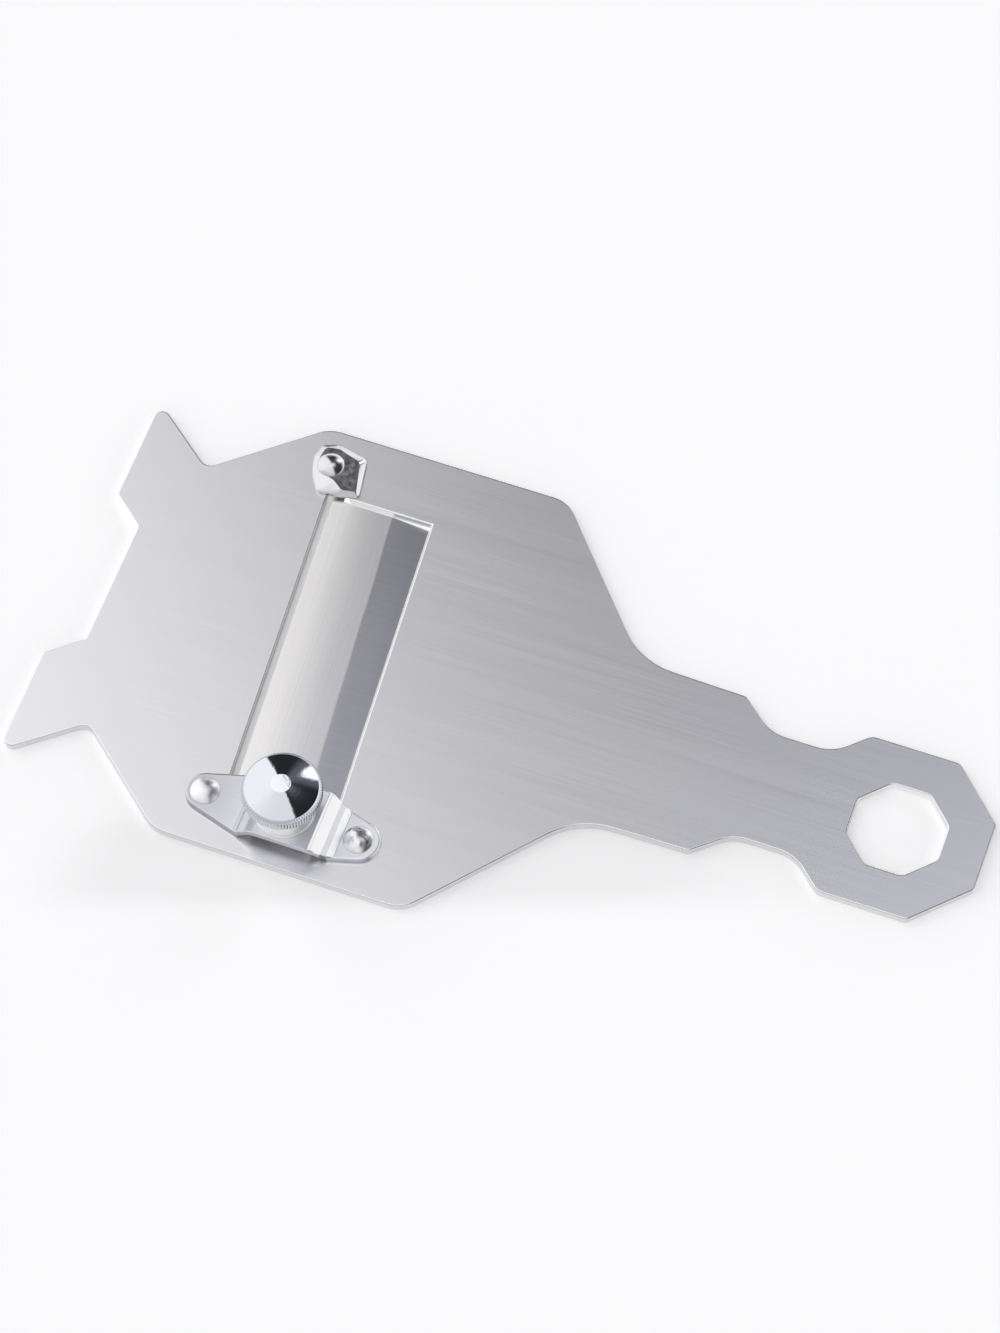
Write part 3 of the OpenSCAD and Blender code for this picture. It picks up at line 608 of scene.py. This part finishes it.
def knurl(a, r, z):
    """Depth of the rim's straight knurl at angle a, fading out at the rim's edges."""
    low = min(1.0, max(0.0, (z - KNOB_RIM_Z - KNURL_FOOT[0]) / KNURL_FOOT[1]))
    high = min(1.0, max(0.0, (r - KNOB_EDGE_R - KNURL_OUT[0]) / KNURL_OUT[1]))
    tooth = abs((a * KNURL_TEETH / (2 * math.pi)) % 1.0 - 0.5) * 2
    return KNURL_DEPTH * low * high * tooth


def make_knob(material):
    """The knob, turned from its profile's corners: radius, height and rounding, from the bore outwards."""
    mid, lo, hi = node_box("knob")
    rim_r = (hi.x - lo.x) / 2
    rim_top = KNOB_RIM_Z + KNOB_RIM_H
    corners = [(0.0, KNOB_BORE_TOP, 0), (KNOB_BORE_R, KNOB_BORE_TOP, 0), (KNOB_BORE_R, lo.z, 0),
               (KNOB_STEM_R, lo.z, 0.35), (KNOB_STEM_R, KNOB_RIM_Z, 0.3), (rim_r, KNOB_RIM_Z, 0.3),
               (rim_r, rim_top, 0.25), (KNOB_EDGE_R, KNOB_EDGE_Z, 0.5), KNOB_SWELL, (KNOB_TIP_R, hi.z, 0.12),
               (0.0, hi.z, 0)]
    profile = rounded([c[:2] for c in corners], [c[2] for c in corners], steps=5)
    knob = lathe("knob_turned", mid, profile, KNURL_TEETH * KNURL_STEPS, material, knurl)
    stand_for(knob, "knob", "knob")


def make_rivet(node, material, head, dent=0.0):
    """A rivet with a flush tail, a shank and a domed head between its seat and its top, dented if asked."""
    seat_z, top = head
    mid, lo, hi = node_box(node)
    head_r = (hi.x - lo.x) / 2
    rise = top - seat_z - HEAD_EDGE
    ball = (head_r * head_r + rise * rise) / (2 * rise)
    reach = math.asin(head_r / ball)
    turns = [reach * (1 - k / DOME_STEPS) for k in range(1, DOME_STEPS)]
    dome = [(ball * math.sin(turn), ball * math.cos(turn) - ball + top) for turn in turns]
    profile = [(0.0, lo.z), (TAIL_R, lo.z), (RIVET_R, lo.z + TAIL_H), (RIVET_R, seat_z),
               (head_r - HEAD_LIP, seat_z), (head_r, seat_z + HEAD_EDGE)] + dome + [(0.0, top)]

    def dented(a, r, z):
        """How far the head's skin is pushed in, fading out at its middle and its edge."""
        if z <= seat_z + HEAD_EDGE:
            return 0.0
        share = r / head_r
        sway = DENT_SWAY * math.sin(a)
        wave = math.sin(DENT_ROUND * a + DENT_TURN) * math.sin(2 * math.pi * DENT_OUT * share + sway)
        return dent * wave * math.sin(math.pi * share) ** 2

    rivet = lathe(node + "_turned", mid, profile, ROUND_STEPS, material, dented)
    stand_for(rivet, node, "frame")


def make_clip(material):
    """The clip as a polished cushion: a low wall that rounds over into a flat top."""
    rivet = node_box("clip_rivet")[0]
    base = node_box("clip")[1].z
    foot, top = (rounded([c[:2] for c in corners], [c[2] for c in corners], steps=8, closed=True)
                 for corners in (CLIP_FOOT, CLIP_TOP))
    bm = bmesh.new()
    rings = []
    for share, z in CLIP_EDGE:
        ring = []
        for p, q in zip(foot, top):
            place = p.lerp(q, share)
            height = base + z - share * place.dot(Vector(CLIP_TILT))
            ring.append(bm.verts.new(((rivet.x + place.x) * MM, (rivet.y + place.y) * MM, height * MM)))
        rings.append(ring)
    n = len(foot)
    for low, high in zip(rings, rings[1:]):
        for k in range(n):
            bm.faces.new((low[k], low[(k + 1) % n], high[(k + 1) % n], high[k]))
    bm.faces.new(rings[0])
    bm.faces.new(rings[-1])
    bmesh.ops.recalc_face_normals(bm, faces=bm.faces)
    for f in bm.faces:
        f.smooth = len(f.verts) == 4
    stand_for(new_object("clip_cap", bm, material), "clip", "frame")


KNOB = node_box("knob")[0]
make_camera()
make_world()
make_floor()

plate_steel = brushed("plate_steel", (0.90, 0.90, 0.92), 0.25, contrast=0.02, aniso=0.61, near=0.8, far=0.5)
blade_steel = ground_blade("blade_steel")
bridge_steel = brushed("bridge_steel", (0.86, 0.865, 0.91), 0.3, contrast=0.03, aniso=0.2, near=0.62,
                       bent=True)
clip_steel = polished("clip_steel", (0.75, 0.75, 0.77), 0.18)
washer_steel = polished("washer_steel", (1.0, 1.0, 1.0), 0.38)
rivet_steel = polished("rivet_steel", (0.74, 0.74, 0.745), 0.2, uneven=0.05)
worn_steel = polished("worn_steel", (0.94, 0.94, 0.95), 0.36, uneven=0.15)
dented_steel = polished("dented_steel", (0.88, 0.88, 0.89), 0.28, uneven=0.1)
knob_chrome = turned_chrome("knob_chrome", (0.74, 0.76, 0.81), 0.07)
stud_steel = polished("stud_steel", (0.62, 0.62, 0.64), 0.25)

finish_node("plate", plate_steel, bevel=0.35)
finish_node("blade", blade_steel, bevel=0.06, angle=15)
finish_node("bridge", bridge_steel, bevel=0.45, angle=45)
finish_node("washer", washer_steel, bevel=0.12, angle=40)
finish_node("stud", stud_steel, angle=40)
finish_node("spring", stud_steel, bevel=0.02, angle=50)
make_knob(knob_chrome)
make_clip(clip_steel)
make_rivet("clip_rivet", rivet_steel, CLIP_HEAD)
make_rivet("front_bridge_rivet", worn_steel, BRIDGE_HEAD)
make_rivet("rear_bridge_rivet", dented_steel, BRIDGE_HEAD, DENT_DEPTH)

bpy.context.scene.view_settings.view_transform = "Standard"
